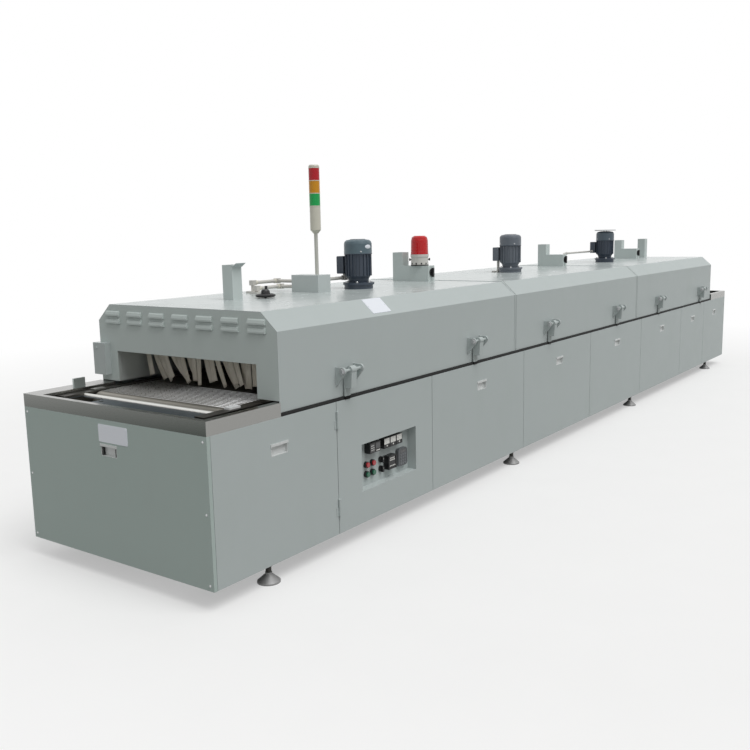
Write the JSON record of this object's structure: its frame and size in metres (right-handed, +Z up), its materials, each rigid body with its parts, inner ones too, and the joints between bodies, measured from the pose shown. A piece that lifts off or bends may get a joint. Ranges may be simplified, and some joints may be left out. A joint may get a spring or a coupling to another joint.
{
  "type": "conveyor tunnel oven",
  "caption": "Long floor-standing conveyor reflow oven: mesh belt through a tunnel under hinged hoods, roof fan motors, exhaust ducts, signal tower and a recessed control tray.",
  "frame": {"origin": "on the floor, in the middle of the base", "axes": "+X along the belt towards the outlet, the control side faces -Y, +Z up"},
  "size_m": [8.408, 1.431, 2.056],
  "materials": {
    "grey_paint": "satin grey-green paint",
    "stainless": "brushed",
    "frame_paint": "matt dark grey",
    "zinc": "zinc plated",
    "belt_steel": "wire mesh",
    "dark_steel": "dark oxide",
    "motor_blue": "dark blue paint",
    "black_plastic": "matt",
    "meter_plastic": "clear cover",
    "red_plastic": "gloss",
    "green_plastic": "gloss",
    "ivory_plastic": "gloss",
    "white_plastic": "gloss",
    "lens_plastic": "coloured lenses",
    "red_lens": "gloss",
    "cloth": "heat-proof cloth strips",
    "insulation": "insulated lining",
    "steel_shaft": "machined"
  },
  "bodies": {
    "base": {"base_rails": "frame_paint", "base_portals": "frame_paint", "levelling_feet": "zinc", "front_side_panels": "grey_paint", "rear_side_panels": "grey_paint", "end_panels": "grey_paint", "panel_pulls": "stainless", "door_hinges": "grey_paint", "table_rims": "stainless", "conveyor_rails": "dark_steel", "roller_bearings": "zinc", "mesh_belt": "belt_steel", "drive_gearmotor": "motor_blue", "drive_chain": "dark_steel", "tunnel_trays": "insulation", "hinge_lugs": "grey_paint"},
    "door": {"control_door": "grey_paint", "control_tray": "grey_paint", "ammeters": "meter_plastic", "panel_devices": "black_plastic"},
    "hood_1": {"hood_shell_1": "grey_paint", "hood_lining_1": "insulation", "inlet_hood_plate": "grey_paint", "inlet_curtain": "cloth", "fan_motor_1": "motor_blue", "exhaust_duct_1": "grey_paint", "signal_tower": "ivory_plastic", "tower_lenses": "lens_plastic", "beacon_base": "white_plastic", "beacon_dome": "red_lens", "roof_conduits_1": "zinc", "switch_box": "grey_paint"},
    "hood_2": {"hood_shell_2": "grey_paint", "hood_lining_2": "insulation", "fan_motor_2": "motor_blue", "exhaust_duct_2": "grey_paint", "roof_conduits_2": "zinc"},
    "hood_3": {"hood_shell_3": "grey_paint", "hood_lining_3": "insulation", "outlet_hood_plate": "grey_paint", "outlet_curtain": "cloth", "fan_motor_3": "motor_blue", "exhaust_duct_3": "grey_paint"},
    "tail_roller": {"tail_roller": "steel_shaft"},
    "drive_roller": {"drive_roller": "steel_shaft"},
    "motor_sprocket": {"motor_sprocket": "steel_shaft"},
    "red_button_1": {"red_button_1": "red_plastic"},
    "red_button_2": {"red_button_2": "red_plastic"},
    "green_button_1": {"green_button_1": "green_plastic"},
    "green_button_2": {"green_button_2": "green_plastic"},
    "selector_knob_1": {"selector_knob_1": "black_plastic"},
    "selector_knob_2": {"selector_knob_2": "black_plastic"},
    "fan_rotor_1": {"fan_rotor_1": "steel_shaft"},
    "fan_rotor_2": {"fan_rotor_2": "steel_shaft"},
    "fan_rotor_3": {"fan_rotor_3": "steel_shaft"},
    "damper_knob_1": {"damper_knob_1": "black_plastic"},
    "damper_knob_2": {"damper_knob_2": "black_plastic"},
    "damper_knob_3": {"damper_knob_3": "black_plastic"},
    "stack_flap": {"stack_flap": "grey_paint"},
    "handwheel": {"handwheel": "black_plastic"}
  },
  "joints": [
    {"name": "hood_1_lift", "type": "hinge", "parent": "base", "child": "hood_1", "pos_m": [0, -0.7, 0.956], "axis": [1, 0, 0], "range_deg": [0, 45]},
    {"name": "hood_2_lift", "type": "hinge", "parent": "base", "child": "hood_2", "pos_m": [0, -0.7, 0.956], "axis": [1, 0, 0], "range_deg": [0, 45]},
    {"name": "hood_3_lift", "type": "hinge", "parent": "base", "child": "hood_3", "pos_m": [0, -0.7, 0.956], "axis": [1, 0, 0], "range_deg": [0, 45]},
    {"name": "fan_1_spin", "type": "hinge", "parent": "hood_1", "child": "fan_rotor_1", "pos_m": [-2.201, 0, 1.1], "axis": [0, 0, 1], "continuous": true},
    {"name": "damper_1_turn", "type": "hinge", "parent": "hood_1", "child": "damper_knob_1", "pos_m": [-1.39, -0.043, 1.35327], "axis": [0, -1, 0], "range_deg": [0, 90]},
    {"name": "fan_2_spin", "type": "hinge", "parent": "hood_2", "child": "fan_rotor_2", "pos_m": [-0.077, 0, 1.1], "axis": [0, 0, 1], "continuous": true},
    {"name": "damper_2_turn", "type": "hinge", "parent": "hood_2", "child": "damper_knob_2", "pos_m": [1.05, 0.005, 1.35327], "axis": [0, -1, 0], "range_deg": [0, 90]},
    {"name": "fan_3_spin", "type": "hinge", "parent": "hood_3", "child": "fan_rotor_3", "pos_m": [2.047, 0, 1.1], "axis": [0, 0, 1], "continuous": true},
    {"name": "damper_3_turn", "type": "hinge", "parent": "hood_3", "child": "damper_knob_3", "pos_m": [3.055, 0.005, 1.35327], "axis": [0, -1, 0], "range_deg": [0, 90]},
    {"name": "stack_flap_swing", "type": "hinge", "parent": "hood_1", "child": "stack_flap", "pos_m": [-3.2105, 0.0821, 1.479], "axis": [1, 0, 0], "range_deg": [-145, 20]},
    {"name": "handwheel_turn", "type": "hinge", "parent": "hood_1", "child": "handwheel", "pos_m": [-3.05, 0.027, 1.31], "axis": [0, 0, 1], "range_deg": [-180, 180]},
    {"name": "control_door_swing", "type": "hinge", "parent": "base", "child": "door", "pos_m": [-3.307, -0.675, 0.45], "axis": [0, 0, -1], "range_deg": [0, 110]},
    {"name": "red_button_1_press", "type": "slide", "parent": "door", "child": "red_button_1", "axis": [0, 1, 0], "range_m": [0, 0.005], "stiffness_N_per_m": 500},
    {"name": "red_button_2_press", "type": "slide", "parent": "door", "child": "red_button_2", "axis": [0, 1, 0], "range_m": [0, 0.005], "stiffness_N_per_m": 500},
    {"name": "green_button_1_press", "type": "slide", "parent": "door", "child": "green_button_1", "axis": [0, 1, 0], "range_m": [0, 0.005], "stiffness_N_per_m": 500},
    {"name": "green_button_2_press", "type": "slide", "parent": "door", "child": "green_button_2", "axis": [0, 1, 0], "range_m": [0, 0.005], "stiffness_N_per_m": 500},
    {"name": "selector_1_turn", "type": "hinge", "parent": "door", "child": "selector_knob_1", "pos_m": [-2.856, -0.62, 0.391], "axis": [0, -1, 0], "range_deg": [0, 90]},
    {"name": "selector_2_turn", "type": "hinge", "parent": "door", "child": "selector_knob_2", "pos_m": [-2.856, -0.62, 0.337], "axis": [0, -1, 0], "range_deg": [0, 90]},
    {"name": "drive_roller_spin", "type": "hinge", "parent": "base", "child": "drive_roller", "pos_m": [3.87, 0, 0.7827], "axis": [0, 1, 0], "continuous": true},
    {"name": "tail_roller_spin", "type": "hinge", "parent": "base", "child": "tail_roller", "pos_m": [-3.87, 0, 0.7827], "axis": [0, 1, 0], "continuous": true},
    {"name": "motor_sprocket_spin", "type": "hinge", "parent": "base", "child": "motor_sprocket", "pos_m": [3.87, 0.5, 0.3527], "axis": [0, 1, 0], "continuous": true}
  ],
  "couplings": [
    {"joint": "tail_roller_spin", "follows": "drive_roller_spin", "ratio": 1},
    {"joint": "motor_sprocket_spin", "follows": "drive_roller_spin", "ratio": 1}
  ]
}
